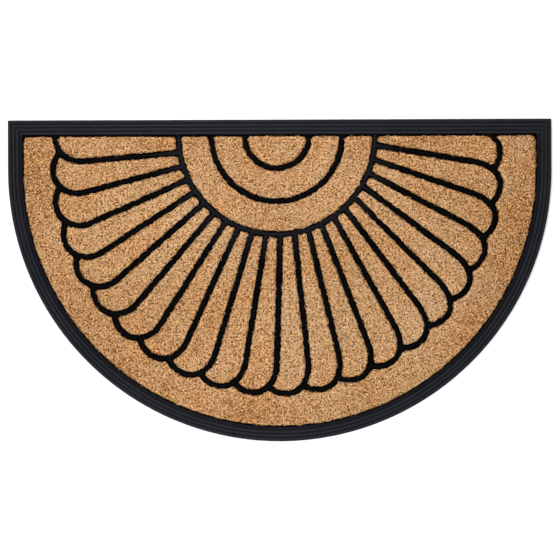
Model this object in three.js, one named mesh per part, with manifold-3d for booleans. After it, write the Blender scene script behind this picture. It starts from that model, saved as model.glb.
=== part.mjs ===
// Half-round coir doormat: one moulded rubber tray with a ribbed rim and raised lines, and coir pile in its pockets.
// Millimetres, +Z up. The origin is under the middle of the mat, +Y points to the straight edge, +X to its right.
import * as THREE from "three";
import { mergeVertices } from "three/addons/utils/BufferGeometryUtils.js";
import Module from "manifold-3d";

const wasm = await Module();
wasm.setup();

// The mat's outline: a half circle, carried on by short straight sides up to the straight edge
const MAT_WIDTH = 750;
const MAT_DEPTH = 444;
const ROUND_RADIUS = MAT_WIDTH / 2;
const STRAIGHT_EDGE_Y = MAT_DEPTH / 2;
const ROUND_CENTRE_Y = ROUND_RADIUS - MAT_DEPTH / 2;

// Heights over the floor
const FLOOR_THICKNESS = 3;
const LINE_TOP_Z = 5.8;
const RIB_CREST_Z = 7.2;
const COIR_TOP_Z = 10;
const SEAT_GAP = 0.3;

// The rim and its moulded ribs
const RIB_COUNT = 4;
const RIB_PITCH = 5.25;
const RIB_FOOT_WIDTH = 4.5;
const RIB_ROUNDING = 1.3;
const RIM_WIDTH = RIB_COUNT * RIB_PITCH;
const RIM_ARC_STEPS = 30;

// The raised lines between the coir fields, and the gap that the coir keeps to them
const LINE_WIDTH = 4.6;
const COIR_GAP = 1.7;
const WALL_OFFSET = LINE_WIDTH / 2;
const COIR_OFFSET = LINE_WIDTH / 2 + COIR_GAP;
const COIR_ROUNDING = 0.9;
const BORDER_LINE_Y = STRAIGHT_EDGE_Y - RIM_WIDTH + LINE_WIDTH / 2;

// The fan: its rings, and petals that each lie over the next like the blades of a fan
const FAN_X = -4;
const RING_CENTRE = new THREE.Vector2(FAN_X, 199);
const RING_RADII = [44.8, 90.3, 135.8];
const RING_ARC_STEPS = 10;
const PETAL_COUNT = 22;
const PETAL_CENTRE = new THREE.Vector2(FAN_X, 152.5);
const INNER_ANGLE = { first: 1.2, step: 8.25 };
const OUTER_ANGLE = { first: -11.9, step: 9.25 };
const KNEE_RADIUS = 269;
const CROWN_RADIUS = 309;
const CROWN_LEAD_ANGLE = 6.5;
const CROWN_CURVE_RADIUS = 37;
const CROWN_SWEEP_ANGLE = 70;
const KNEE_HANDLE = 22;
const CROWN_HANDLE = 19.5;
const KNEE_STEPS = 7;
const CROWN_STEPS = 5;
const SHORTEST_STEP = 0.6;
const CUT_CLEARANCE = 1;

const materials = {
  rubber: new THREE.MeshStandardMaterial({ color: 0x2a2b2f, roughness: 0.62, metalness: 0 }),
  coir: new THREE.MeshStandardMaterial({ color: 0xc09366, roughness: 0.95, metalness: 0 }),
};

// The point of a circle at an angle in degrees, counted from the left through the round end to the right
function fanPoint(centre, radius, degrees) {
  const angle = THREE.MathUtils.degToRad(degrees);
  return new THREE.Vector2(centre.x - radius * Math.cos(angle), centre.y - radius * Math.sin(angle));
}

// The middle of the line on a petal's far side: from the outer ring to the knee, over the petal's crown and on
function petalLine(petal) {
  const outerAngle = OUTER_ANGLE.first + OUTER_ANGLE.step * petal;
  const crownAngle = outerAngle - CROWN_LEAD_ANGLE;
  const root = fanPoint(RING_CENTRE, RING_RADII[2], INNER_ANGLE.first + INNER_ANGLE.step * petal);
  const knee = fanPoint(PETAL_CENTRE, KNEE_RADIUS, outerAngle);
  const crown = fanPoint(PETAL_CENTRE, CROWN_RADIUS, crownAngle);
  const along = knee.clone().sub(root).normalize();
  const outward = crown.clone().sub(PETAL_CENTRE).normalize();
  const back = new THREE.Vector2(-outward.y, outward.x);
  const bend = new THREE.CubicBezierCurve(
    knee,
    knee.clone().addScaledVector(along, KNEE_HANDLE),
    crown.clone().addScaledVector(back, CROWN_HANDLE),
    crown,
  );
  const middle = crown.clone().addScaledVector(outward, -CROWN_CURVE_RADIUS);
  const start = outward.angle();
  const end = start - THREE.MathUtils.degToRad(CROWN_SWEEP_ANGLE);
  const over = new THREE.ArcCurve(middle.x, middle.y, CROWN_CURVE_RADIUS, start, end, true);
  return [root, ...bend.getPoints(KNEE_STEPS), ...over.getPoints(CROWN_STEPS).slice(1)];
}

// A row of points moved sideways: to the left of its direction for a positive distance
function offset(points, distance) {
  return points.map((point, i) => {
    const before = points[Math.max(i - 1, 0)];
    const after = points[Math.min(i + 1, points.length - 1)];
    const along = after.clone().sub(before).normalize();
    return new THREE.Vector2(point.x - along.y * distance, point.y + along.x * distance);
  });
}

// The last place where one row of points crosses another, with the number of the point before it on each
function crossing(rowA, rowB) {
  let found = null;
  for (let a = 0; a < rowA.length - 1; a++) {
    for (let b = 0; b < rowB.length - 1; b++) {
      const alongA = rowA[a + 1].clone().sub(rowA[a]);
      const alongB = rowB[b + 1].clone().sub(rowB[b]);
      const between = rowB[b].clone().sub(rowA[a]);
      const turn = alongA.cross(alongB);
      const shareA = between.cross(alongB) / turn;
      const shareB = between.cross(alongA) / turn;
      if (shareA >= 0 && shareA < 1 && shareB >= 0 && shareB < 1) {
        found = { point: rowA[a].clone().addScaledVector(alongA, shareA), a, b };
      }
    }
  }
  return found;
}

// The straight edge of every field that meets the rim's straight side, as far from the line's middle as asked
function borderRow(distance) {
  const y = BORDER_LINE_Y - distance;
  return [new THREE.Vector2(-MAT_WIDTH, y), new THREE.Vector2(MAT_WIDTH, y)];
}

// A half ring's edge, from its left end round to its right end
function ringRow(radius, distance) {
  const lift = Math.asin((BORDER_LINE_Y - distance - RING_CENTRE.y) / radius);
  const arc = new THREE.ArcCurve(RING_CENTRE.x, RING_CENTRE.y, radius, Math.PI - lift, 2 * Math.PI + lift, false);
  return arc.getPoints(Math.round(RING_ARC_STEPS * Math.sqrt(radius / RING_RADII[0])));
}

// The outline of the half disc or half ring of coir inside one of the ring lines
function ringField(ring, distance) {
  const outer = ringRow(RING_RADII[ring] - distance, distance);
  const inner = ring > 0 ? ringRow(RING_RADII[ring - 1] + distance, distance).reverse() : [];
  return [...outer, ...inner];
}

// The two edges of a petal: on its own line, and on the line of the petal that lies over it
function petalEdges(petal, distance) {
  const near = offset(petalLine(petal), -distance);
  const far = petal > 1 ? offset(petalLine(petal - 1), distance) : borderRow(distance);
  return { near, far };
}

function petalField(petal, distance) {
  const { near, far } = petalEdges(petal, distance);
  const ring = ringRow(RING_RADII[2] + distance, distance);
  const tip = crossing(near, far);
  const farFoot = crossing(far, ring);
  const tipToFoot = [tip.point, ...far.slice(farFoot.a + 1, tip.b + 1).reverse(), farFoot.point];
  if (petal < PETAL_COUNT) {
    const nearFoot = crossing(near, ring);
    const arc = ring.slice(farFoot.b + 1, nearFoot.b + 1);
    return [nearFoot.point, ...near.slice(nearFoot.a + 1, tip.a + 1), ...tipToFoot, ...arc];
  }
  const border = borderRow(distance);
  const leave = crossing(near, border);
  const arc = ring.slice(farFoot.b + 1);
  return [leave.point, ...near.slice(leave.a + 1, tip.a + 1), ...tipToFoot, ...arc];
}

// The outer field, between the petals' crowns and the rim
function borderField(distance) {
  const rim = trayOutline(RIM_WIDTH + distance - WALL_OFFSET, BORDER_LINE_Y - distance);
  const border = borderRow(distance);
  const far = (petal) => offset(petalLine(petal), distance);
  const crowns = [];
  let row = far(PETAL_COUNT);
  let from = crossing(row, border);
  for (let petal = PETAL_COUNT; petal >= 1; petal--) {
    const next = petal > 1 ? far(petal - 1) : border;
    const to = crossing(row, next);
    crowns.push(from.point, ...row.slice(from.a + 1, to.a + 1));
    from = { point: to.point, a: to.b };
    row = next;
  }
  crowns.push(from.point);
  return [...rim, ...crowns];
}

// The mat's outline, inset by a distance, from its left corner round to its right one
function trayOutline(inset, straightY = STRAIGHT_EDGE_Y - inset) {
  const radius = ROUND_RADIUS - inset;
  const round = new THREE.ArcCurve(0, ROUND_CENTRE_Y, radius, Math.PI, 2 * Math.PI, false);
  const corner = (side) => new THREE.Vector2(side * radius, straightY);
  return [corner(-1), ...round.getPoints(2 * RIM_ARC_STEPS), corner(1)];
}

// An outline without the points that nearly meet the one before them
function spaced(outline) {
  return outline.filter((point, i) => point.distanceTo(outline.at(i - 1)) >= SHORTEST_STEP);
}

// A closed solid of an outline, with the same rounding along its lower and upper edges
function plate(outline, bottomZ, topZ, rounding = 0, hole = null) {
  const shape = new THREE.Shape(spaced(outline));
  if (hole) {
    shape.holes.push(new THREE.Path(hole));
  }
  const geometry = new THREE.ExtrudeGeometry(shape, {
    depth: topZ - bottomZ - 2 * rounding,
    bevelEnabled: rounding > 0,
    bevelThickness: rounding,
    bevelSize: rounding,
    bevelOffset: -rounding,
    bevelSegments: 1,
  });
  return geometry.translate(0, 0, bottomZ + rounding);
}

function solidOf(geometry) {
  const bare = geometry.clone();
  bare.deleteAttribute("normal");
  bare.deleteAttribute("uv");
  const merged = mergeVertices(bare, 1e-3);
  return new wasm.Manifold(
    new wasm.Mesh({
      numProp: 3,
      vertProperties: merged.attributes.position.array,
      triVerts: new Uint32Array(merged.index.array),
    }),
  );
}

function geometryOf(solid) {
  const mesh = solid.getMesh();
  const geometry = new THREE.BufferGeometry();
  geometry.setAttribute("position", new THREE.BufferAttribute(new Float32Array(mesh.vertProperties), 3));
  geometry.setIndex(new THREE.BufferAttribute(new Uint32Array(mesh.triVerts), 1));
  return geometry;
}

// Every coir field by name, as a function that gives its outline at a distance from the lines' middles
const fields = {
  coir_centre: (distance) => ringField(0, distance),
  coir_ring_1: (distance) => ringField(1, distance),
  coir_ring_2: (distance) => ringField(2, distance),
};
for (let petal = 1; petal <= PETAL_COUNT; petal++) {
  fields["coir_petal_" + String(petal).padStart(2, "0")] = (distance) => petalField(petal, distance);
}
fields.coir_border = borderField;

// The tray: a slab with a pocket for each field, which leaves the lines standing, and the ribs on its rim
function rubberTray() {
  let pockets = null;
  for (const outlineAt of Object.values(fields)) {
    const pocket = solidOf(plate(outlineAt(WALL_OFFSET), FLOOR_THICKNESS, LINE_TOP_Z + CUT_CLEARANCE));
    pockets = pockets ? pockets.add(pocket) : pocket;
  }
  let tray = solidOf(plate(trayOutline(0), 0, LINE_TOP_Z)).subtract(pockets);
  for (let rib = 0; rib < RIB_COUNT; rib++) {
    const outer = (rib + 0.5) * RIB_PITCH - RIB_FOOT_WIDTH / 2;
    const hole = trayOutline(outer + RIB_FOOT_WIDTH).reverse();
    const bottom = LINE_TOP_Z - 2 * RIB_ROUNDING;
    tray = tray.add(solidOf(plate(trayOutline(outer), bottom, RIB_CREST_Z, RIB_ROUNDING, hole)));
  }
  return geometryOf(tray);
}

const doormat = new THREE.Group();
doormat.name = "coir_doormat";

const tray = new THREE.Mesh(rubberTray(), materials.rubber);
tray.name = "rubber_tray";
doormat.add(tray);

for (const [name, outlineAt] of Object.entries(fields)) {
  const bottom = FLOOR_THICKNESS + SEAT_GAP;
  const pile = new THREE.Mesh(plate(outlineAt(COIR_OFFSET), bottom, COIR_TOP_Z, COIR_ROUNDING), materials.coir);
  pile.name = name;
  doormat.add(pile);
}

export default doormat;
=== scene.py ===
"""Dresses the half-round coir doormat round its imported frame: a moulded rubber tray with a ribbed
rim and raised fan lines, and short, tangled coir pile in its pockets."""

import math

import bmesh
import bpy
import numpy as np
from bpy.props import FloatProperty, FloatVectorProperty, IntProperty, PointerProperty
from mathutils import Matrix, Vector, noise


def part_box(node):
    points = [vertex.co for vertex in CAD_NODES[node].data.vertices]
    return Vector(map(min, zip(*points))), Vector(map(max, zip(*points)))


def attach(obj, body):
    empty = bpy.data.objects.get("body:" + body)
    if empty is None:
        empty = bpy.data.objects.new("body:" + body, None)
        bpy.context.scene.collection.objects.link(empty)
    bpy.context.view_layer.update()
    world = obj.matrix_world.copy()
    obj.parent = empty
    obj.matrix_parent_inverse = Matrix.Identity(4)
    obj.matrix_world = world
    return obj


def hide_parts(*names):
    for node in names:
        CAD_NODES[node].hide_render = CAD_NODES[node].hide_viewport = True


bl_info = {
    "name": "Half-round coir doormat",
    "version": (1, 0, 0),
    "blender": (4, 5, 0),
    "location": "3D View > Sidebar > Coir doormat",
    "description": "Builds the rubber tray, the coir pile and its fibres on the packed doormat",
    "category": "Object",
}

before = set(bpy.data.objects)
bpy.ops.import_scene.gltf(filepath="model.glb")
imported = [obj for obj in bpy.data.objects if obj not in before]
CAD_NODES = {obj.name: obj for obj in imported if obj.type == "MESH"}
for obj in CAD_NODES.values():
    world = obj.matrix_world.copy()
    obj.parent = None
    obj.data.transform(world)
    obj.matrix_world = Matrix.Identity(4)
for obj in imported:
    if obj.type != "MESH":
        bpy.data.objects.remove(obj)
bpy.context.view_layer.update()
TRAY_NODE = "rubber_tray"
OUTER_RING_NODE = "coir_ring_2"
FIELD_NODES = sorted(name for name in CAD_NODES if name.startswith("coir_"))
BODY = "root"
BAKE_MAP = "OFBake"
MM = 0.001

# The mat's box, its round side, and the heights of its lines and its pile
MAT_LOW, MAT_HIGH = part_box(TRAY_NODE)
ROUND_RADIUS = (MAT_HIGH.x - MAT_LOW.x) / 2
ROUND_CENTRE_Y = MAT_LOW.y + ROUND_RADIUS
RIM_WIDTH = 21 * MM
LINE_TOP = 5.8 * MM
PILE_BOTTOM, PILE_TOP = (corner.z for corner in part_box(FIELD_NODES[0]))
PILE_MIDDLE = (PILE_TOP + PILE_BOTTOM) / 2

# The outer ring, from which the dividers fan out
RING_LOW, RING_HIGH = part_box(OUTER_RING_NODE)
RING_RADIUS = (RING_HIGH.x - RING_LOW.x) / 2
RING_CENTRE = ((RING_LOW.x + RING_HIGH.x) / 2, RING_LOW.y + RING_RADIUS, LINE_TOP)

# Where most of a noise's grey values lie, and the holes of the pile in bumps a metre
GREYS = (0.3, 0.7)
HOLE_GRAIN = 430


# Sizes and colours

COLOUR = {"subtype": "COLOR", "size": 3}
LENGTH = {"subtype": "DISTANCE", "unit": "LENGTH"}
SHARE = {"subtype": "FACTOR", "min": 0, "max": 1}


class TraySettings(bpy.types.PropertyGroup):
    """The moulded rubber tray."""

    rubber: FloatVectorProperty(
        name="Rubber",
        description="Colour of the rubber",
        default=(0.0003, 0.0004, 0.0006),
        **COLOUR,
    )
    # The pale colour of the dusty bloom and the paler underside, and of the painted light on the
    # crests and on the lines' tops round the outer ring
    dust_and_painted_light: FloatVectorProperty(
        name="Dust",
        description="Colour of the bloom on the rubber's highest parts",
        default=(0.0138, 0.0143, 0.0183),
        **COLOUR,
    )
    edge: FloatProperty(
        name="Edge rounding",
        description="Rounding of the raised lines",
        default=0.9 * MM,
        **LENGTH,
    )
    roughness: FloatProperty(
        name="Roughness",
        description="Roughness of the rubber",
        default=0.45,
        **SHARE,
    )
    gloss: FloatProperty(
        name="Gloss",
        description="Strength of the rubber's gloss",
        default=0.03,
        **SHARE,
    )
    ribs: IntProperty(
        name="Ribs",
        description="Number of ribs across the rim",
        default=4,
    )
    groove: FloatProperty(
        name="Groove height",
        description="Height of the grooves between the ribs",
        default=LINE_TOP,
        **LENGTH,
    )
    shoulder: FloatProperty(
        name="Shoulder height",
        description="Height of the rim's outer edge",
        default=5.0 * MM,
        **LENGTH,
    )


class PileSettings(bpy.types.PropertyGroup):
    """The tangled body of the pile in each pocket."""

    # Painted shade: the colour of the pile's holes
    shade: FloatVectorProperty(
        name="Shade",
        description="Colour deep in the pile",
        default=(0.080, 0.029, 0.006),
        **COLOUR,
    )
    body: FloatVectorProperty(
        name="Body",
        description="Colour of most of the pile",
        default=(0.43, 0.228, 0.096),
        **COLOUR,
    )
    straw: FloatVectorProperty(
        name="Straw",
        description="Colour of the palest pile",
        default=(0.72, 0.46, 0.24),
        **COLOUR,
    )
    mesh_size: FloatProperty(
        name="Mesh size",
        description="Size of the faces of the pile",
        default=2.5 * MM,
        **LENGTH,
    )
    sunk: FloatProperty(
        name="Sunk",
        description="How far the body ends under the fibre tips",
        default=1.0 * MM,
        **LENGTH,
    )
    lumps: FloatProperty(
        name="Lumps",
        description="Height of the pile's unevenness",
        default=0.5 * MM,
        **LENGTH,
    )
    sway: FloatProperty(
        name="Sway",
        description="How far the cut sides wander",
        default=0.35 * MM,
        **LENGTH,
    )
    drawn_in: FloatProperty(
        name="Drawn in",
        description="How far the body's sides stand in from the outline, which the fibres reach",
        default=0.4 * MM,
        **LENGTH,
    )
    spread: FloatProperty(
        name="Spread",
        description="How much further out the pile stands along the round rim",
        default=1.1 * MM,
        **LENGTH,
    )
    top_gap: FloatProperty(
        name="Top gap",
        description="How much further in the pile stands along the straight rim",
        default=0.3 * MM,
        **LENGTH,
    )
    seed: IntProperty(
        name="Seed",
        description="Seed for the wandering of the cut sides",
        default=1795620849,
    )


class FibreSettings(bpy.types.PropertyGroup):
    """The loose coir fibres on the pile."""

    per_area: FloatProperty(
        name="Fibres per square metre",
        description="How close the fibres stand",
        default=290000,
    )
    length: FloatProperty(
        name="Length",
        description="Mean length of a fibre",
        default=4.0 * MM,
        **LENGTH,
    )
    radius: FloatProperty(
        name="Radius",
        description="Radius of a fibre at its root",
        default=0.41 * MM,
        **LENGTH,
    )
    stand: FloatProperty(
        name="Stand",
        description="How far fibres stand up from the pile, 0 for lying",
        default=0.6,
        **SHARE,
    )
    curl: FloatProperty(
        name="Curl",
        description="Sideways bend of a fibre as a share of its length",
        default=0.45,
        **SHARE,
    )
    reach: FloatProperty(
        name="Reach",
        description="How far a fibre may stray from the pile",
        default=0.65 * MM,
        **LENGTH,
    )
    seed: IntProperty(
        name="Seed",
        description="Seed for the places of the fibres",
        default=11,
    )


class StageSettings(bpy.types.PropertyGroup):
    """The floor, the light and the camera."""

    floor: FloatVectorProperty(
        name="Floor",
        description="Colour of the floor",
        default=(0.96, 0.96, 0.96),
        **COLOUR,
    )
    sky: FloatProperty(
        name="Soft light",
        description="Strength of the even light from all sides",
        default=1.0,
    )
    low_sky: FloatProperty(
        name="Low light",
        description="Strength of that light from low down",
        default=2.0,
    )
    overhead: FloatProperty(
        name="Overhead",
        description="Strength of that light straight overhead",
        default=0.12,
    )
    lamp: FloatProperty(
        name="Lamp",
        description="Power of the larger lamp",
        default=7,
        subtype="POWER",
        unit="POWER",
    )
    view_width: FloatProperty(
        name="View width",
        description="Width of floor in the picture",
        default=772.4 * MM,
        **LENGTH,
    )
    focal: FloatProperty(
        name="Focal length",
        description="Focal length of the camera in millimetres",
        default=90,
        subtype="DISTANCE_CAMERA",
        unit="CAMERA",
    )
    roll: FloatProperty(
        name="Roll",
        description="Turn of the camera",
        default=math.radians(-0.2),
        subtype="ANGLE",
        unit="ROTATION",
    )


# Helpers for node trees


def socket_of(sockets, key):
    """A node's socket by its place, or the shown one by its name."""
    if isinstance(key, int):
        return sockets[key]
    return next(socket for socket in sockets if socket.name == key and socket.enabled)


def give(tree, socket, value):
    """Links an input to a socket, or sets it to a value."""
    if isinstance(value, bpy.types.NodeSocket):
        tree.links.new(value, socket)
    else:
        socket.default_value = value


def add(tree, kind, inputs=None, **settings):
    """A new node with its settings made, and its inputs linked to a socket or set to a value."""
    node = tree.nodes.new(kind)
    for name, value in settings.items():
        setattr(node, name, value)
    for key, value in (inputs or {}).items():
        give(tree, socket_of(node.inputs, key), value)
    return node


def out(node, key=0):
    return socket_of(node.outputs, key)


def maths(tree, operation, a, b=0.0):
    return out(add(tree, "ShaderNodeMath", {0: a, 1: b}, operation=operation))


def minus(tree, a, b):
    return maths(tree, "SUBTRACT", a, b)


def total(tree, value, *others):
    """Values added up in their order."""
    for other in others:
        value = maths(tree, "ADD", value, other)
    return value


def product(tree, value, *others):
    """Values multiplied in their order."""
    for other in others:
        value = maths(tree, "MULTIPLY", value, other)
    return value


def held_between(tree, value, low, high):
    return maths(tree, "MINIMUM", maths(tree, "MAXIMUM", value, low), high)


def vector_maths(tree, operation, a, b):
    return out(add(tree, "ShaderNodeVectorMath", {0: a, 1: b}, operation=operation))


def scaled(tree, vector, factor):
    inputs = {0: vector, "Scale": factor}
    return out(add(tree, "ShaderNodeVectorMath", inputs, operation="SCALE"))


def length_of(tree, vector):
    return out(add(tree, "ShaderNodeVectorMath", {0: vector}, operation="LENGTH"), "Value")


def part_of(tree, vector, axis):
    """A vector's X, Y or Z."""
    return out(add(tree, "ShaderNodeSeparateXYZ", {0: vector}), axis)


def vector_from(tree, **parts):
    """A vector from its X, Y and Z, with 0 for one that isn't given."""
    return out(add(tree, "ShaderNodeCombineXYZ", parts))


def stretched(tree, value, low, high, to_low=0.0, to_high=1.0):
    """A value carried from one range to another and held inside it."""
    inputs = {"Value": value, "From Min": low, "From Max": high}
    inputs.update({"To Min": to_low, "To Max": to_high})
    return out(add(tree, "ShaderNodeMapRange", inputs))


def grain(tree, place, scale, detail=2.0, roughness=0.5):
    """The grey value of a noise at a place, its scale in bumps a metre."""
    inputs = {"Vector": place, "Scale": scale, "Detail": detail, "Roughness": roughness}
    return out(add(tree, "ShaderNodeTexNoise", inputs), "Fac")


def object_place(tree):
    return out(add(tree, "ShaderNodeTexCoord"), "Object")


def opaque(colour):
    return (*colour, 1.0)


def ramp(tree, value, stops):
    """A colour ramp with its stops as (place, colour)."""
    node = add(tree, "ShaderNodeValToRGB", {"Fac": value})
    elements = node.color_ramp.elements
    while len(elements) < len(stops):
        elements.new(0.5)
    for element, (place, colour) in zip(elements, stops):
        element.position = place
        element.color = opaque(colour)
    return out(node, "Color")


def mixed(tree, factor, a, b, blend="MIX"):
    """Two colours mixed."""
    node = add(tree, "ShaderNodeMix", data_type="RGBA", blend_type=blend)
    for socket, value in zip([s for s in node.inputs if s.enabled], (factor, a, b)):
        give(tree, socket, value)
    return next(s for s in node.outputs if s.enabled)


def shaded(tree, colour, value):
    """A colour darkened by a grey value."""
    grey = out(add(tree, "ShaderNodeCombineColor", {0: value, 1: value, 2: value}))
    return mixed(tree, 1.0, colour, grey, "MULTIPLY")


def bumped(tree, height, strength, distance):
    """The normal of a surface with bumps of a height of its own."""
    inputs = {"Strength": strength, "Distance": distance, "Height": height}
    return out(add(tree, "ShaderNodeBump", inputs))


def new_material(name):
    """A material and its empty tree."""
    material = bpy.data.materials.new(name)
    material.use_nodes = True
    tree = material.node_tree
    tree.nodes.clear()
    return material, tree


def finish_material(tree, inputs):
    """Ends a material's tree with a shader that has these inputs."""
    shader = add(tree, "ShaderNodeBsdfPrincipled", inputs)
    add(tree, "ShaderNodeOutputMaterial", {"Surface": out(shader)})


def new_node_tree(name, numbers, counts):
    """A Geometry Nodes tree and what it is given: a shape, numbers, whole numbers, a material."""
    tree = bpy.data.node_groups.new(name, "GeometryNodeTree")
    sockets = [("Geometry", "Geometry")]
    sockets += [(number, "Float") for number in numbers]
    sockets += [(count, "Int") for count in counts]
    sockets += [("Material", "Material")]
    for label, kind in sockets:
        tree.interface.new_socket(label, in_out="INPUT", socket_type="NodeSocket" + kind)
    tree.interface.new_socket("Geometry", in_out="OUTPUT", socket_type="NodeSocketGeometry")
    return tree, add(tree, "NodeGroupInput")


def finish_node_tree(tree, given, geometry):
    """Ends a Geometry Nodes tree with plain geometry in the material that it is given."""
    geometry = out(add(tree, "GeometryNodeRealizeInstances", {"Geometry": geometry}))
    inputs = {"Geometry": geometry, "Material": out(given, "Material")}
    geometry = out(add(tree, "GeometryNodeSetMaterial", inputs))
    add(tree, "NodeGroupOutput", {"Geometry": geometry})


def set_inputs(modifier, values):
    """Sets a Geometry Nodes modifier's inputs by their names."""
    for item in modifier.node_group.interface.items_tree:
        if item.name in values:
            modifier[item.identifier] = values[item.name]


def depth_from_round(tree, place):
    """How far a place lies in from the mat's round edge and its two short sides."""
    below = maths(tree, "MINIMUM", minus(tree, part_of(tree, place, "Y"), ROUND_CENTRE_Y), 0.0)
    flat = vector_from(tree, X=part_of(tree, place, "X"), Y=below)
    return minus(tree, ROUND_RADIUS, length_of(tree, flat))


def depth_inside(tree, place):
    """How far a place lies in from the mat's whole outline."""
    from_straight = minus(tree, MAT_HIGH.y, part_of(tree, place, "Y"))
    return maths(tree, "MINIMUM", depth_from_round(tree, place), from_straight)


# The rubber

# Its grains in bumps a metre, with the grey values that count, and its bumps
BLOOM_GRAIN = 38
BLOOM_GREYS = (0.38, 0.66)
LEATHER_GRAIN = 900
LEATHER_GREYS = (0.35, 0.7)
LEATHER_STRENGTH = 0.35
LEATHER_DEPTH = 0.06 * MM
ROUGHNESS_PLAY = 0.08

# How pale it is where the dusty bloom lies, on crests (partly dusty, partly painted light, with
# painted shade left in the grooves), at the lines' roots (painted light) and underneath, and what
# share of that is left in the painted shade beside the coir
BLOOM_WEAR = 0.3
CREST_DUST_AND_LIGHT = 0.85
ROOT_PAINTED_LIGHT = 0.36
UNDERSIDE_WEAR = 0.6
PAINTED_SHADE_SHARE = 0.45

# Where these begin and end: heights, depths in from the edge and distances from the rings' centre
CREST_HEIGHTS = (LINE_TOP - 0.1 * MM, MAT_HIGH.z)
FLAT_TOP_HEIGHTS = (LINE_TOP - 0.35 * MM, LINE_TOP - 0.02 * MM)
UNDERSIDE_HEIGHTS = (0.1 * MM, 1.2 * MM)
PAINTED_SHADE_DEPTHS = (RIM_WIDTH - 7 * MM, RIM_WIDTH - 3 * MM)
ROOT_START = (RING_RADIUS - 1.5 * MM, RING_RADIUS + 2 * MM)
ROOT_END = (RING_RADIUS + 10 * MM, RING_RADIUS + 45 * MM)


def rubber_wear_and_painted_light(tree, place, leather):
    """How pale the rubber is at a place: most on crests and least on flanks, in grooves and beside
    the coir, partly dusty bloom and partly painted light and shade.
    """
    height = part_of(tree, place, "Z")
    bloom = product(
        tree,
        stretched(tree, grain(tree, place, BLOOM_GRAIN, 4, 0.6), *BLOOM_GREYS),
        stretched(tree, leather, *LEATHER_GREYS, 0.0, BLOOM_WEAR),
    )
    crest_dust_and_light = stretched(tree, height, *CREST_HEIGHTS, 0.0, CREST_DUST_AND_LIGHT)

    # Painted shade: from the innermost rib inwards the rubber is darker, as in the coir's shade,
    # but not on the straight rim
    straight_rim = maths(tree, "GREATER_THAN", part_of(tree, place, "Y"), MAT_HIGH.y - RIM_WIDTH)
    depth = depth_from_round(tree, place)
    painted_shade = stretched(tree, depth, *PAINTED_SHADE_DEPTHS, 1.0, PAINTED_SHADE_SHARE)
    outside_painted_shade = maths(tree, "MAXIMUM", painted_shade, straight_rim)
    wear_and_painted_light = product(tree, total(tree, bloom, crest_dust_and_light), outside_painted_shade)

    # Painted light: the lines' flat tops are slate round the outer ring, where the dividers meet it
    # and the rubber lies open to more light
    from_ring = length_of(tree, vector_maths(tree, "SUBTRACT", place, RING_CENTRE))
    root = product(
        tree,
        stretched(tree, from_ring, *ROOT_START),
        stretched(tree, from_ring, *ROOT_END, 1.0, 0.0),
    )
    flat_top = product(
        tree,
        stretched(tree, height, *FLAT_TOP_HEIGHTS, 0.0, ROOT_PAINTED_LIGHT),
        minus(tree, 1.0, straight_rim),
    )
    underside = stretched(tree, height, *UNDERSIDE_HEIGHTS, UNDERSIDE_WEAR, 0.0)
    return total(tree, wear_and_painted_light, product(tree, root, flat_top), underside)


def rubber_material(settings):
    """Charcoal moulded rubber with a fine leathery grain, a little dusty bloom, and painted light
    and shade on its crests, grooves and lines.
    """
    material, tree = new_material("moulded rubber")
    place = object_place(tree)
    leather = grain(tree, place, LEATHER_GRAIN, 3, 0.6)
    wear_and_painted_light = rubber_wear_and_painted_light(tree, place, leather)
    smoothest, roughest = settings.roughness - ROUGHNESS_PLAY, settings.roughness + ROUGHNESS_PLAY
    inputs = {
        "Base Color": mixed(tree, wear_and_painted_light, opaque(settings.rubber), opaque(settings.dust_and_painted_light)),
        "Roughness": stretched(tree, leather, *GREYS, smoothest, roughest),
        "Specular IOR Level": settings.gloss,
        "Normal": bumped(tree, leather, LEATHER_STRENGTH, LEATHER_DEPTH),
    }
    finish_material(tree, inputs)
    return material


# The coir

# The body's grains in bumps a metre, its mixture of holes and strands, and its bumps
STRAND_GRAIN = 1100
TINT_GRAIN = 14
HOLE_SHARE = 0.75
STRAND_SHARE = 0.25
MATTED_STRENGTH = 0.9
MATTED_DEPTH = 0.7 * MM

# The mixture's grey values from shade to straw, the shade painted into the holes, and how dark the
# body is at its foot as painted shade
MATTED_GREYS = (0.41, 0.47, 0.54, 0.68)
FOOT_SHADE = 0.12
LIT_HEIGHT = PILE_TOP - 2.2 * MM
TINTS = [(0.36, (1.06, 0.98, 0.88)), (0.5, (1, 1, 1)), (0.64, (0.93, 0.95, 0.93))]

# A fibre's colours by its tone, from 0 dark to 1 pale, and how dark it is at its root as painted
# shade
WARM_TONES = [
    (0.00, (0.060, 0.015, 0.002)),
    (0.12, (0.22, 0.064, 0.009)),
    (0.26, (0.44, 0.188, 0.046)),
    (0.42, (0.634, 0.360, 0.151)),
    (0.60, (0.754, 0.494, 0.270)),
    (0.78, (0.814, 0.588, 0.340)),
    (1.00, (0.842, 0.690, 0.458)),
]
COOL_TONES = [
    (0.00, (0.050, 0.015, 0.002)),
    (0.12, (0.19, 0.062, 0.010)),
    (0.26, (0.405, 0.187, 0.052)),
    (0.42, (0.606, 0.360, 0.163)),
    (0.60, (0.732, 0.494, 0.287)),
    (0.78, (0.797, 0.588, 0.357)),
    (1.00, (0.834, 0.690, 0.476)),
]
ROOT_SHADE = 0.35
LIT_LENGTH = 0.5


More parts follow.
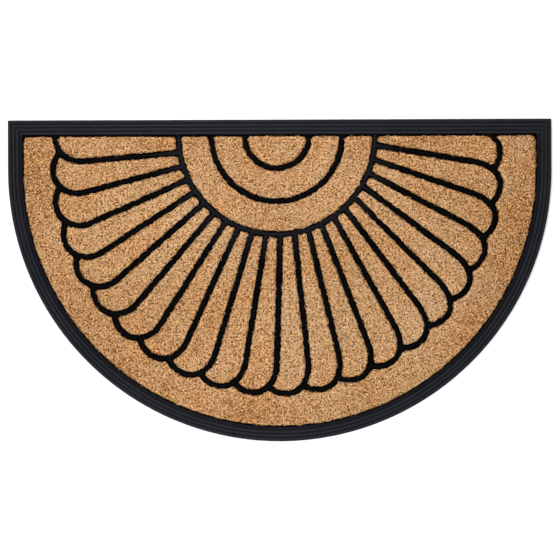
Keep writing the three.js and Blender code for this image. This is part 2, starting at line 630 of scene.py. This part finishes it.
def pile_material(settings):
    """The body of the pile: matted coir with holes in painted shade, pale strands and patches of
    tint, and painted shade towards its foot.
    """
    material, tree = new_material("coir pile")
    place = object_place(tree)
    holes = grain(tree, place, HOLE_GRAIN, 1.0)
    strands = grain(tree, place, STRAND_GRAIN, 3, 0.6)
    matted = total(tree, product(tree, holes, HOLE_SHARE), product(tree, strands, STRAND_SHARE))
    between = [(a + b) / 2 for a, b in zip(settings.shade, settings.body)]
    colours = (settings.shade, between, settings.body, settings.straw)
    tangle = ramp(tree, matted, list(zip(MATTED_GREYS, colours)))
    tint = ramp(tree, grain(tree, place, TINT_GRAIN, 3, 0.5), TINTS)
    height = part_of(tree, place, "Z")
    light = stretched(tree, height, PILE_BOTTOM, LIT_HEIGHT, FOOT_SHADE, 1.0)
    inputs = {
        "Base Color": shaded(tree, mixed(tree, 1.0, tangle, tint, "MULTIPLY"), light),
        "Roughness": 0.9,
        "Specular IOR Level": 0.05,
        "Normal": bumped(tree, matted, MATTED_STRENGTH, MATTED_DEPTH),
    }
    finish_material(tree, inputs)
    return material


def fibre_material():
    """A coir fibre: its map's U is its tone, the lower half of V warm and the upper half cool, and
    V also darkens it at its root as painted shade.
    """
    material, tree = new_material("coir fibre")
    map_place = out(add(tree, "ShaderNodeUVMap", uv_map=BAKE_MAP))
    tone, up = part_of(tree, map_place, "X"), part_of(tree, map_place, "Y")
    cool = maths(tree, "GREATER_THAN", up, 0.5)
    colour = mixed(tree, cool, ramp(tree, tone, WARM_TONES), ramp(tree, tone, COOL_TONES))
    along = maths(tree, "FRACT", product(tree, up, 2.0))
    light = stretched(tree, along, 0.0, LIT_LENGTH, ROOT_SHADE, 1.0)
    inputs = {
        "Base Color": shaded(tree, colour, light),
        "Roughness": 0.75,
        "Specular IOR Level": 0.1,
    }
    finish_material(tree, inputs)
    return material


# Mesh helpers

MERGE_DISTANCE = 0.01 * MM
FLAT_ANGLE = math.radians(0.5)
SHARP_ANGLE = math.radians(40)


def new_object(name, data):
    thing = bpy.data.objects.new(name, data)
    bpy.context.scene.collection.objects.link(thing)
    return thing


def join_flat_faces(source, mesh):
    """Puts a mesh in another one with its doubles merged and its flat faces joined."""
    shape = bmesh.new()
    shape.from_mesh(source)
    bmesh.ops.remove_doubles(shape, verts=shape.verts, dist=MERGE_DISTANCE)
    bmesh.ops.dissolve_degenerate(shape, dist=MERGE_DISTANCE, edges=shape.edges)
    bmesh.ops.dissolve_limit(
        shape,
        angle_limit=FLAT_ANGLE,
        verts=shape.verts,
        edges=shape.edges,
        use_dissolve_boundaries=False,
    )
    shape.to_mesh(mesh)
    shape.free()


def merged_copy(node, name):
    """A copy of a CAD node's mesh with its flat faces joined, as a new object."""
    mesh = bpy.data.meshes.new(name)
    join_flat_faces(CAD_NODES[node].data, mesh)
    return new_object(name, mesh)


def evaluated_mesh(thing, name):
    """What an object's modifiers make of it, as a plain mesh."""
    graph = bpy.context.evaluated_depsgraph_get()
    mesh = bpy.data.meshes.new_from_object(
        thing.evaluated_get(graph), preserve_all_data_layers=True, depsgraph=graph
    )
    mesh.name = name
    return mesh


def positions(mesh):
    """The places of a mesh's points, as an array."""
    flat = np.zeros(len(mesh.vertices) * 3)
    mesh.vertices.foreach_get("co", flat)
    return flat.reshape(-1, 3)


# The flat size of a field

# A field that fills less than this share of its rectangle is a bent strip
STRIP_SHARE = 0.35


def top_area(node):
    """The plan area of a CAD field, from its volume."""
    mesh = CAD_NODES[node].data
    volume = 0.0
    mesh.calc_loop_triangles()
    for triangle in mesh.loop_triangles:
        a, b, c = (mesh.vertices[i].co for i in triangle.vertices)
        volume += a.dot(b.cross(c)) / 6
    return abs(volume) / (PILE_TOP - PILE_BOTTOM)


def outline_edges(node):
    """The edges of a CAD field's outline half-way up, as an array of their ends in plan."""
    shape = bmesh.new()
    shape.from_mesh(CAD_NODES[node].data)
    bmesh.ops.remove_doubles(shape, verts=shape.verts, dist=MERGE_DISTANCE)
    cut = bmesh.ops.bisect_plane(
        shape,
        geom=shape.verts[:] + shape.edges[:] + shape.faces[:],
        plane_co=(0, 0, PILE_MIDDLE),
        plane_no=(0, 0, 1),
    )
    edges = [item for item in cut["geom_cut"] if isinstance(item, bmesh.types.BMEdge)]
    ends = np.array([[vertex.co.xy for vertex in edge.verts] for edge in edges])
    shape.free()
    return ends


def flat_size(node):
    """The sides of the rectangle or straight strip that a field is cut from, and its area."""
    ends = outline_edges(node)
    area = top_area(node)
    rectangles = []
    for degrees in range(180):
        turn = math.radians(degrees)
        axis = np.array([math.cos(turn), math.sin(turn)])
        across = np.array([-axis[1], axis[0]])
        rectangles.append([float(np.ptp(ends.reshape(-1, 2) @ side)) for side in (axis, across)])
    sides = min(rectangles, key=math.prod)
    if area < STRIP_SHARE * math.prod(sides):
        mean_side = float(np.linalg.norm(ends[:, 1] - ends[:, 0], axis=1).sum()) / 4
        difference = math.sqrt(mean_side * mean_side - area)
        sides = [mean_side - difference, mean_side + difference]
    return sorted(sides), area


# The tray

# Steps round the rim's half circle and over each rib, and how full a rib's arch is
RIM_ARC_STEPS = 180
STEPS_PER_RIB = 8
RIB_FULLNESS = 2.2

# How the ribs cover the CAD rim: the play beside it, the top layer that is sunk and how far, and
# the height at which they close under themselves
RIM_PLAY = 0.1 * MM
SUNK_LAYER = 0.5 * MM
SLAB_SINK = 0.3 * MM
HIDDEN_HEIGHT = 1.0 * MM
BEVEL_SEGMENTS = 3


def inset_of(point):
    """How far a point lies in from the mat's outline."""
    if point.y < ROUND_CENTRE_Y:
        side = ROUND_RADIUS - math.hypot(point.x, point.y - ROUND_CENTRE_Y)
    else:
        side = ROUND_RADIUS - abs(point.x)
    return min(side, MAT_HIGH.y - point.y)


def slab_mesh(settings):
    """The tray's floor and raised lines: the CAD node with its rim sunk a little under the ribs."""
    slab = merged_copy(TRAY_NODE, "slab")
    shrink = 1 - SLAB_SINK / ROUND_RADIUS
    for vertex in slab.data.vertices:
        inset = inset_of(vertex.co)
        if inset < RIM_WIDTH - 2 * RIM_PLAY and vertex.co.z > LINE_TOP - SUNK_LAYER:
            vertex.co.z = LINE_TOP - SLAB_SINK
        if inset < RIM_PLAY:
            vertex.co.x *= shrink
            vertex.co.y = ROUND_CENTRE_Y + (vertex.co.y - ROUND_CENTRE_Y) * shrink
            vertex.co.y = min(vertex.co.y, MAT_HIGH.y - SLAB_SINK)
    join_flat_faces(slab.data, slab.data)
    bevel = slab.modifiers.new("moulded edges", "BEVEL")
    bevel.width = settings.edge
    bevel.segments = BEVEL_SEGMENTS
    bevel.limit_method = "ANGLE"
    bevel.angle_limit = SHARP_ANGLE
    mesh = evaluated_mesh(slab, "slab")
    bpy.data.objects.remove(slab)
    return mesh


def outline_path():
    """The mat's outline as a row of points, each with the way that it moves when drawn in."""
    centre = Vector((0, ROUND_CENTRE_Y, 0))
    points, inward = [Vector((-ROUND_RADIUS, MAT_HIGH.y, 0))], [Vector((1, -1, 0))]
    for step in range(RIM_ARC_STEPS + 1):
        angle = math.pi * (1 + step / RIM_ARC_STEPS)
        way = Vector((math.cos(angle), math.sin(angle), 0))
        points.append(centre + ROUND_RADIUS * way)
        inward.append(-way)
    points.append(Vector((ROUND_RADIUS, MAT_HIGH.y, 0)))
    inward.append(Vector((-1, -1, 0)))
    mesh = bpy.data.meshes.new("outline")
    mesh.from_pydata(points, [(i, i + 1) for i in range(len(points) - 1)], [])
    ways = mesh.attributes.new("inward", "FLOAT_VECTOR", "POINT")
    ways.data.foreach_set("vector", np.array(inward).ravel())
    return mesh


def rim_tree():
    """The tree that carries the ribs' section round the outline, mitred at the corners."""
    numbers = ("Rim Width", "Crest", "Groove", "Shoulder")
    tree, given = new_node_tree("moulded rim", numbers, ("Ribs", "Steps per Rib"))
    outline, per_rib = out(given, "Geometry"), out(given, "Steps per Rib")
    groove = out(given, "Groove")

    # A grid, closed both ways, with a row for each point of the outline and a column for each
    # point of the section: the steps over the ribs with both their ends, the foot, and two under
    size = add(tree, "GeometryNodeAttributeDomainSize", {0: outline}, component="MESH")
    rows = out(size, "Point Count")
    steps = product(tree, out(given, "Ribs"), per_rib)
    columns = total(tree, steps, 4.0)
    inputs = {"Vertices X": total(tree, rows, 1.0), "Vertices Y": columns}
    grid = out(add(tree, "GeometryNodeMeshGrid", inputs))
    index = out(add(tree, "GeometryNodeInputIndex"))
    row = maths(tree, "FLOOR", maths(tree, "DIVIDE", total(tree, index, 0.5), columns))
    column = minus(tree, index, product(tree, row, columns))
    row = maths(tree, "MODULO", row, rows)

    def sampled(value):
        inputs = {"Geometry": outline, "Value": value, "Index": row}
        kind = {"data_type": "FLOAT_VECTOR", "domain": "POINT"}
        return out(add(tree, "GeometryNodeSampleIndex", inputs, **kind), "Value")

    place = sampled(out(add(tree, "GeometryNodeInputPosition")))
    inputs = {"Name": "inward"}
    ways = add(tree, "GeometryNodeInputNamedAttribute", inputs, data_type="FLOAT_VECTOR")
    inward = sampled(out(ways, "Attribute"))

    # How far in each point of the section lies
    step = held_between(tree, minus(tree, column, 1.0), 0.0, steps)
    before_end = maths(tree, "LESS_THAN", column, minus(tree, columns, 1.5))
    across = maths(tree, "DIVIDE", step, steps)
    inset = product(tree, across, out(given, "Rim Width"), before_end)

    # How high it lies: arches over the ribs, lower at both shoulders, and at 0 under them
    share = maths(tree, "FRACT", maths(tree, "DIVIDE", step, per_rib))
    side = maths(tree, "ABSOLUTE", minus(tree, product(tree, share, 2.0), 1.0))
    arch = minus(tree, 1.0, maths(tree, "POWER", side, RIB_FULLNESS))
    rise = product(tree, minus(tree, out(given, "Crest"), groove), arch)
    first = maths(tree, "LESS_THAN", step, 0.5)
    last = maths(tree, "GREATER_THAN", step, minus(tree, steps, 0.5))
    lower = minus(tree, groove, out(given, "Shoulder"))
    height = total(tree, groove, rise)
    height = minus(tree, height, product(tree, total(tree, first, last), lower))
    above = maths(tree, "GREATER_THAN", column, 0.5)
    below = maths(tree, "LESS_THAN", column, total(tree, steps, 1.5))
    height = product(tree, height, product(tree, above, below))
    hidden = maths(tree, "COMPARE", column, total(tree, steps, 2.0))
    height = total(tree, height, product(tree, hidden, HIDDEN_HEIGHT))

    moved = vector_maths(tree, "ADD", place, scaled(tree, inward, inset))
    moved = vector_maths(tree, "ADD", moved, vector_from(tree, Z=height))
    rim = out(add(tree, "GeometryNodeSetPosition", {"Geometry": grid, "Position": moved}))
    inputs = {"Geometry": rim, "Distance": MERGE_DISTANCE}
    rim = out(add(tree, "GeometryNodeMergeByDistance", inputs))
    finish_node_tree(tree, given, rim)
    return tree


def rim_mesh(settings, material):
    """The ribbed rim, as a mesh of its own."""
    rim = new_object("rim", outline_path())
    modifier = rim.modifiers.new("ribs", "NODES")
    modifier.node_group = rim_tree()
    values = {
        "Ribs": settings.ribs,
        "Steps per Rib": STEPS_PER_RIB,
        "Rim Width": RIM_WIDTH - RIM_PLAY,
        "Crest": MAT_HIGH.z,
        "Groove": settings.groove,
        "Shoulder": settings.shoulder,
        "Material": material,
    }
    set_inputs(modifier, values)
    mesh = evaluated_mesh(rim, "rim")
    bpy.data.objects.remove(rim)
    return mesh


def build_tray(settings):
    """The moulded tray: its floor and lines, and the ribbed rim, in one mesh."""
    material = rubber_material(settings)
    shape = bmesh.new()
    shape.from_mesh(rim_mesh(settings, material))
    bmesh.ops.recalc_face_normals(shape, faces=shape.faces)
    shape.from_mesh(slab_mesh(settings))
    mesh = bpy.data.meshes.new("moulded_tray")
    shape.to_mesh(mesh)
    shape.free()
    mesh.materials.append(material)
    mesh.shade_smooth()
    mesh.set_sharp_from_angle(angle=SHARP_ANGLE)
    tray = new_object("moulded_tray", mesh)
    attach(tray, BODY)
    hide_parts(TRAY_NODE)


# The body of the pile

SOFTENING = 0.5
SOFTENING_STEPS = 4

# Its lumps and the wandering of its sides: sizes, and the share of the smaller ones
LUMP_SIZE = 7 * MM
SMALL_LUMP_SIZE = 3.2 * MM
SMALL_LUMP_SHARE = 0.6
WANDER_SIZE = 14 * MM
WANDER_SHIFT = Vector((3.1, 7.7, 1.3))
SMALL_WANDER_SIZE = 4.5 * MM
SMALL_WANDER_SHARE = 0.8

# How far inside the rim a side still counts as lying along it
STRAIGHT_RIM_BAND = 5 * MM
ROUND_RIM_BAND = 8 * MM


def even_mesh(pile, settings):
    """Gives a pile faces of one size and soft corners."""
    remesh = pile.modifiers.new("even faces", "REMESH")
    remesh.mode = "VOXEL"
    remesh.voxel_size = settings.mesh_size
    smooth = pile.modifiers.new("soft corners", "SMOOTH")
    smooth.factor = SOFTENING
    smooth.iterations = SOFTENING_STEPS
    mesh = evaluated_mesh(pile, pile.name)
    pile.modifiers.clear()
    pile.data = mesh
    return mesh


def shaped_pile(node, settings, material):
    """The body of one field: the CAD block, remeshed, and uneven on top and along its sides."""
    pile = merged_copy(node, node + "_pile")
    mesh = even_mesh(pile, settings)
    points = positions(mesh)
    for point, vertex in zip(points, mesh.vertices):
        drawn_in = settings.drawn_in
        if MAT_HIGH.y - point[1] < RIM_WIDTH + STRAIGHT_RIM_BAND and vertex.normal.y > 0:
            drawn_in += settings.top_gap
        elif inset_of(Vector(point)) < RIM_WIDTH + ROUND_RIM_BAND:
            drawn_in -= settings.spread
        point[:2] -= drawn_in * np.array(vertex.normal[:2])
        here = Vector((point[0], point[1], 0))
        lump = noise.noise(here / LUMP_SIZE)
        lump += SMALL_LUMP_SHARE * noise.noise(here / SMALL_LUMP_SIZE)
        wander = noise.noise_vector(here / WANDER_SIZE + WANDER_SHIFT)
        wander += SMALL_WANDER_SHARE * noise.noise_vector(here / SMALL_WANDER_SIZE)
        share = max(0.0, (point[2] - PILE_MIDDLE) / (PILE_TOP - PILE_MIDDLE))
        point[2] += share * (settings.lumps * lump - settings.sunk)
        point[0] += settings.sway * wander.x
        point[1] += settings.sway * wander.y
    mesh.vertices.foreach_set("co", points.ravel())
    mesh.update()
    mesh.shade_smooth()
    mesh.materials.clear()
    mesh.materials.append(material)
    return pile


# The fibres

# Roots start this high and on faces that look no further down, tips end this far under the top,
# and none grows in holes that are darker than this
ROOT_HEIGHT = 1.5 * MM
LOWEST_FACING = -0.3
TIP_DEPTH = 0.1 * MM
BARE_GREY = 0.380

# Lowest and highest of what is random in a fibre
BENDS = ((-1, -1, -0.5), (1, 1, 0.5))
LEANS = ((-1, -1, -0.35), (1, 1, 0.35))
THICKNESSES = (0.6, 1.35)
LENGTHS = (0.45, 1.5)
HALF_TONES = (0.10, 0.42)

# How its tone changes with its place: bumps a metre, detail, and the lowest and highest change
CLUMPS = (520, 1.5, -0.17, 0.165)
DRIFT = (7, 3, -0.16, 0.16)
PATCHES = (110, 2, -0.15, 0.15)

# Dark specks, painted shade on edges that slope down, a darker band along the rim, and the darker
# two ends of the mat
SPECK_GRAIN = 880
SPECK_GREYS = (0.30, 0.38)
SPECK_CHANGE = -0.44
EDGE_FACING = (0.3, 0.95)
EDGE_PAINTED_SHADE = -0.16
# A darker band along the rim
NEAR_RIM_DEPTHS = (RIM_WIDTH, RIM_WIDTH + 45 * MM)
NEAR_RIM_CHANGE = -0.11
END_PLACES = (0.55 * ROUND_RADIUS, 0.95 * ROUND_RADIUS)
END_CHANGE = -0.10
HIGHEST_TONE = 0.96

# Which fibres are cool
COOL_GRAIN = 45
COOL_PLAY = (-0.22, 0.22)
COOL_GREY = 0.5

# Its points and sides, how thin its tip is, and its map: U grows from side to side, and V from
# root to tip in the lower half, with a tilt on one side, or in the upper half for a cool one
FIBRE_POINTS = 3
FIBRE_SIDES = 3
TIP_SHARE = 0.35
MAP_SIDE_STEP = 0.013
MAP_LENGTH = (0.01, 0.46)
MAP_TILT = 0.02
MAP_COOL_STEP = 0.5
SEED_STEP = 10


def fibre_tone(tree, place, outward, random):
    """A fibre's tone by chance and by its place, with painted shade where it grows from the pile's
    sloping edges.
    """

    def varied(scale, detail, lowest, highest):
        return stretched(tree, grain(tree, place, scale, detail), *GREYS, lowest, highest)

    speck = grain(tree, place, SPECK_GRAIN, 1.0)
    aside = maths(tree, "ABSOLUTE", part_of(tree, place, "X"))
    tone = total(
        tree,
        random(*HALF_TONES, shift=4),
        random(*HALF_TONES, shift=5),
        varied(*CLUMPS),
        varied(*DRIFT),
        varied(*PATCHES),
        stretched(tree, speck, *SPECK_GREYS, SPECK_CHANGE, 0.0),
        stretched(tree, part_of(tree, outward, "Z"), *EDGE_FACING, EDGE_PAINTED_SHADE, 0.0),
        stretched(tree, depth_inside(tree, place), *NEAR_RIM_DEPTHS, NEAR_RIM_CHANGE, 0.0),
        stretched(tree, aside, *END_PLACES, 0.0, END_CHANGE),
    )
    return held_between(tree, tone, 0.0, HIGHEST_TONE)


def fibre_tree():
    """The tree that sets curled, tapered fibres on a field of pile and gives each its tone."""
    numbers = ("Per Area", "Length", "Radius", "Stand", "Curl", "Reach")
    numbers += ("Lowest Root", "Highest Tip")
    tree, given = new_node_tree("coir fibres", numbers, ("Seed",))
    length, seed = out(given, "Length"), out(given, "Seed")

    def random(low, high, shift, kind="FLOAT"):
        inputs = {"Min": low, "Max": high, "Seed": total(tree, seed, float(shift))}
        return out(add(tree, "FunctionNodeRandomValue", inputs, data_type=kind), "Value")

    def stored(geometry, name, value, kind="FLOAT", domain="POINT"):
        inputs = {"Geometry": geometry, "Name": name, "Value": value}
        kinds = {"data_type": kind, "domain": domain}
        return out(add(tree, "GeometryNodeStoreNamedAttribute", inputs, **kinds))

    def named(name, kind="FLOAT"):
        node = add(tree, "GeometryNodeInputNamedAttribute", {"Name": name}, data_type=kind)
        return out(node, "Attribute")

    def changed(kind, geometry, **inputs):
        return out(add(tree, kind, {"Geometry": geometry, **inputs}))

    # Roots: on the top and the sides of the pile, but not under it or in its dark holes
    place = out(add(tree, "GeometryNodeInputPosition"))
    normal = out(add(tree, "GeometryNodeInputNormal"))
    above = maths(tree, "GREATER_THAN", part_of(tree, place, "Z"), out(given, "Lowest Root"))
    facing = maths(tree, "GREATER_THAN", part_of(tree, normal, "Z"), LOWEST_FACING)
    inputs = {
        "Mesh": out(given, "Geometry"),
        "Selection": product(tree, above, facing),
        "Density": out(given, "Per Area"),
        "Seed": seed,
    }
    roots = add(tree, "GeometryNodeDistributePointsOnFaces", inputs, distribute_method="RANDOM")
    outward = out(roots, "Normal")
    bend = random(*BENDS, shift=1, kind="FLOAT_VECTOR")
    points = stored(out(roots, "Points"), "bend", bend, "FLOAT_VECTOR")
    points = stored(points, "thick", random(*THICKNESSES, shift=2))
    points = stored(points, "size", random(*LENGTHS, shift=3))
    points = stored(points, "tone", fibre_tone(tree, place, outward, random))
    tint = total(tree, grain(tree, place, COOL_GRAIN, 2), random(*COOL_PLAY, shift=7))
    points = stored(points, "cool", maths(tree, "GREATER_THAN", tint, COOL_GREY))
    bare = maths(tree, "LESS_THAN", grain(tree, place, HOLE_GRAIN, 1.0), BARE_GREY)
    inputs = {"Geometry": points, "Selection": bare}
    points = out(add(tree, "GeometryNodeDeleteGeometry", inputs, domain="POINT"))
    upright = scaled(tree, outward, out(given, "Stand"))
    lean = random(*LEANS, shift=6, kind="FLOAT_VECTOR")
    inputs = {"Vector": vector_maths(tree, "ADD", upright, lean)}
    turned = out(add(tree, "FunctionNodeAlignRotationToVector", inputs, axis="Z"))

    # Fibres: a few points each, bent sideways, held near the pile and cut off level
    ends = {"Start": (0, 0, 0), "End": (0, 0, 1)}
    line = out(add(tree, "GeometryNodeCurvePrimitiveLine", ends, mode="POINTS"))
    inputs = {"Curve": line, "Count": FIBRE_POINTS}
    straight = out(add(tree, "GeometryNodeResampleCurve", inputs, mode="COUNT"))
    inputs = {
        "Points": points,
        "Instance": straight,
        "Rotation": turned,
        "Scale": scaled(tree, (1, 1, 1), product(tree, length, named("size"))),
    }
    fibres = out(add(tree, "GeometryNodeInstanceOnPoints", inputs))
    fibres = changed("GeometryNodeRealizeInstances", fibres)
    along = out(add(tree, "GeometryNodeSplineParameter"), "Factor")
    fibres = stored(fibres, "along", along)
    furthest = product(tree, length, out(given, "Curl"))
    bow = product(tree, product(tree, along, along), furthest)
    offset = scaled(tree, named("bend", "FLOAT_VECTOR"), bow)
    fibres = changed("GeometryNodeSetPosition", fibres, Offset=offset)
    here = out(add(tree, "GeometryNodeInputPosition"))
    inputs = {0: out(given, "Geometry"), "Sample Position": here}
    pile = add(tree, "GeometryNodeProximity", inputs, target_element="FACES")
    on_pile = out(pile, "Position")
    reach = product(tree, out(given, "Reach"), maths(tree, "POWER", named("size"), 2.0))
    held = maths(tree, "DIVIDE", reach, maths(tree, "MAXIMUM", out(pile, "Distance"), reach))
    strayed = vector_maths(tree, "SUBTRACT", here, on_pile)
    now = vector_maths(tree, "ADD", on_pile, scaled(tree, strayed, held))
    level = maths(tree, "MINIMUM", part_of(tree, now, "Z"), out(given, "Highest Tip"))
    level = maths(tree, "MAXIMUM", level, out(given, "Lowest Root"))
    cut = vector_from(tree, X=part_of(tree, now, "X"), Y=part_of(tree, now, "Y"), Z=level)
    fibres = changed("GeometryNodeSetPosition", fibres, Position=cut)

    # Bodies: few-sided and tapered, with their tone across the map and their length up it
    taper = stretched(tree, along, 0.0, 1.0, 1.0, TIP_SHARE)
    inputs = {"Resolution": FIBRE_SIDES, "Radius": 1.0}
    ring = out(add(tree, "GeometryNodeCurvePrimitiveCircle", inputs, mode="RADIUS"))
    inputs = {
        "Curve": fibres,
        "Profile Curve": stored(ring, "side", out(add(tree, "GeometryNodeInputIndex"))),
        "Scale": product(tree, out(given, "Radius"), named("thick"), taper),
        "Fill Caps": True,
    }
    bodies = out(add(tree, "GeometryNodeCurveToMesh", inputs))
    side = named("side")
    across = total(tree, named("tone"), product(tree, side, MAP_SIDE_STEP))
    up = total(
        tree,
        stretched(tree, named("along"), 0.0, 1.0, *MAP_LENGTH),
        product(tree, named("cool"), MAP_COOL_STEP),
        product(tree, maths(tree, "COMPARE", side, 1.0), MAP_TILT),
    )
    bodies = stored(bodies, BAKE_MAP, vector_from(tree, X=across, Y=up), "FLOAT2", "CORNER")
    for name in ("bend", "thick", "size", "tone", "cool", "along", "side"):
        bodies = changed("GeometryNodeRemoveAttribute", bodies, Name=name)
    finish_node_tree(tree, given, changed("GeometryNodeSetShadeSmooth", bodies))
    return tree


def set_fibres(pile, tree, material, settings, seed):
    """The fibres of one field of pile, as a mesh of their own."""
    carrier = new_object(pile.name + "_carrier", pile.data)
    modifier = carrier.modifiers.new("fibres", "NODES")
    modifier.node_group = tree
    values = {
        "Per Area": settings.per_area,
        "Length": settings.length,
        "Radius": settings.radius,
        "Stand": settings.stand,
        "Curl": settings.curl,
        "Reach": settings.reach,
        "Lowest Root": PILE_BOTTOM + ROOT_HEIGHT,
        "Highest Tip": PILE_TOP - TIP_DEPTH,
        "Seed": seed,
        "Material": material,
    }
    set_inputs(modifier, values)
    name = pile.name.replace("_pile", "_fibres")
    mesh = evaluated_mesh(carrier, name)
    bpy.data.objects.remove(carrier)
    mesh.uv_layers[BAKE_MAP].active = True
    mesh.uv_layers[BAKE_MAP].active_render = True
    fibres = new_object(name, mesh)
    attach(fibres, BODY)
    return fibres


# The stage

FLOOR_GRAIN = 3
FLOOR_DIMMEST = 0.985
FLOOR_HALF_WIDTH = 4
FLOOR_CELLS = 8

# The sky's heights, 0 level and 1 overhead: where the low light ends, where it is cut off, and
# where the overhead light begins
LOW_SKY_HEIGHTS = (0.35, 0.60)
LOW_SKY_END = 0.7
OVERHEAD_HEIGHTS = (0.80, 0.96)

# Each lamp's place and share of the power, in metres as their sides are
LAMPS = {"far lamp": ((-0.14, 0.65, 0.75), 1.0), "near lamp": ((-0.14, -0.7, 0.75), 0.85)}
LAMP_SIDES = (0.7, 0.5)

# The picture's pixels, the camera's sensor, and its shift over the mat in pixels
PHOTO_PIXELS = 560
SENSOR_WIDTH_MM = 36
CAMERA_SHIFT = (-0.15, 0.42)


def floor_material(settings):
    """A plain pale studio floor with the faintest unevenness."""
    material, tree = new_material("studio floor")
    dim = [FLOOR_DIMMEST * part for part in settings.floor]
    stops = list(zip(GREYS, (dim, settings.floor)))
    unevenness = grain(tree, object_place(tree), FLOOR_GRAIN, 2)
    finish_material(tree, {"Base Color": ramp(tree, unevenness, stops), "Roughness": 0.8})
    return material


def build_floor(settings):
    mesh = bpy.data.meshes.new("studio_floor")
    shape = bmesh.new()
    bmesh.ops.create_grid(
        shape, x_segments=FLOOR_CELLS, y_segments=FLOOR_CELLS, size=FLOOR_HALF_WIDTH
    )
    shape.to_mesh(mesh)
    shape.free()
    mesh.materials.append(floor_material(settings))
    floor = new_object("studio_floor", mesh)


def build_sky(settings):
    """An even light, stronger low down, and dim straight overhead so that flat rubber is dark."""
    world = bpy.data.worlds.new("soft light")
    world.use_nodes = True
    tree = world.node_tree
    back = next(node for node in tree.nodes if node.type == "BACKGROUND")
    height = part_of(tree, out(add(tree, "ShaderNodeTexCoord"), "Generated"), "Z")
    low = stretched(tree, height, *LOW_SKY_HEIGHTS, settings.low_sky, settings.sky)
    overhead = stretched(tree, height, *OVERHEAD_HEIGHTS, settings.sky, settings.overhead)
    low_part = product(tree, low, maths(tree, "LESS_THAN", height, LOW_SKY_END))
    strength = maths(tree, "MAXIMUM", maths(tree, "MINIMUM", low, overhead), low_part)
    give(tree, back.inputs["Strength"], strength)
    give(tree, back.inputs["Color"], opaque((1, 1, 1)))
    bpy.context.scene.world = world


def build_lamps(settings):
    """Two large soft lamps over the mat's two long sides."""
    for name, (place, share) in LAMPS.items():
        data = bpy.data.lights.new(name, "AREA")
        data.shape = "RECTANGLE"
        data.size, data.size_y = LAMP_SIDES
        data.energy = settings.lamp * share
        lamp = new_object(name, data)
        lamp.location = place
        lamp.rotation_euler = Vector(place).to_track_quat("Z", "Y").to_euler()


def build_camera(settings):
    """A camera straight over the mat, at the height from which the view is as wide as wanted."""
    data = bpy.data.cameras.new("camera")
    data.sensor_width = SENSOR_WIDTH_MM
    data.lens = settings.focal
    camera = new_object("camera", data)
    height = settings.view_width * settings.focal / SENSOR_WIDTH_MM
    x, y = (shift * settings.view_width / PHOTO_PIXELS for shift in CAMERA_SHIFT)
    camera.location = (x, y, LINE_TOP + height)
    camera.rotation_euler = (0, 0, settings.roll)
    bpy.context.scene.camera = camera


# Operators, panel and the run


class COIRMAT_OT_tray(bpy.types.Operator):
    """Build the moulded rubber tray over its CAD node"""

    bl_idname = "coirmat.tray"
    bl_label = "Rubber tray"

    def execute(self, context):
        build_tray(context.scene.coirmat_tray)
        return {"FINISHED"}


class COIRMAT_OT_pile(bpy.types.Operator):
    """Build the coir pile of every field with its fibres"""

    bl_idname = "coirmat.pile"
    bl_label = "Coir pile and fibres"

    def execute(self, context):
        pile_settings = context.scene.coirmat_pile
        fibre_settings = context.scene.coirmat_fibres
        body = pile_material(pile_settings)
        loose = fibre_material()
        tree = fibre_tree()
        noise.seed_set(pile_settings.seed)
        for number, node in enumerate(FIELD_NODES):
            pile = shaped_pile(node, pile_settings, body)
            seed = fibre_settings.seed + SEED_STEP * number
            fibres = set_fibres(pile, tree, loose, fibre_settings, seed)
            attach(pile, BODY)
            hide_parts(node)
            flat, area = flat_size(node)
        return {"FINISHED"}


class COIRMAT_OT_stage(bpy.types.Operator):
    """Build the floor, the lights and the camera"""

    bl_idname = "coirmat.stage"
    bl_label = "Floor, light and camera"

    def execute(self, context):
        settings = context.scene.coirmat_stage
        build_floor(settings)
        build_sky(settings)
        build_lamps(settings)
        build_camera(settings)
        context.scene.view_settings.view_transform = "Standard"
        return {"FINISHED"}


class COIRMAT_PT_panel(bpy.types.Panel):
    """Lists the steps that build the doormat, each with its sizes and colours"""

    bl_idname = "COIRMAT_PT_panel"
    bl_label = "Coir doormat"
    bl_space_type = "VIEW_3D"
    bl_region_type = "UI"
    bl_category = "Coir doormat"

    def draw(self, context):
        for operator, groups in STEPS:
            self.layout.operator(operator.bl_idname)
            for group in groups:
                settings = getattr(context.scene, group)
                for name in settings.__annotations__:
                    self.layout.prop(settings, name)


GROUPS = {
    "coirmat_tray": TraySettings,
    "coirmat_pile": PileSettings,
    "coirmat_fibres": FibreSettings,
    "coirmat_stage": StageSettings,
}
STEPS = [
    (COIRMAT_OT_stage, ["coirmat_stage"]),
    (COIRMAT_OT_tray, ["coirmat_tray"]),
    (COIRMAT_OT_pile, ["coirmat_pile", "coirmat_fibres"]),
]


def register():
    for name, group in GROUPS.items():
        bpy.utils.register_class(group)
        setattr(bpy.types.Scene, name, PointerProperty(type=group))
    for operator, _ in STEPS:
        bpy.utils.register_class(operator)
    bpy.utils.register_class(COIRMAT_PT_panel)


def unregister():
    bpy.utils.unregister_class(COIRMAT_PT_panel)
    for operator, _ in reversed(STEPS):
        bpy.utils.unregister_class(operator)
    for name, group in GROUPS.items():
        delattr(bpy.types.Scene, name)
        bpy.utils.unregister_class(group)


def main():
    register()
    bpy.ops.coirmat.stage()
    bpy.ops.coirmat.tray()
    bpy.ops.coirmat.pile()


if __name__ == "__main__":
    main()
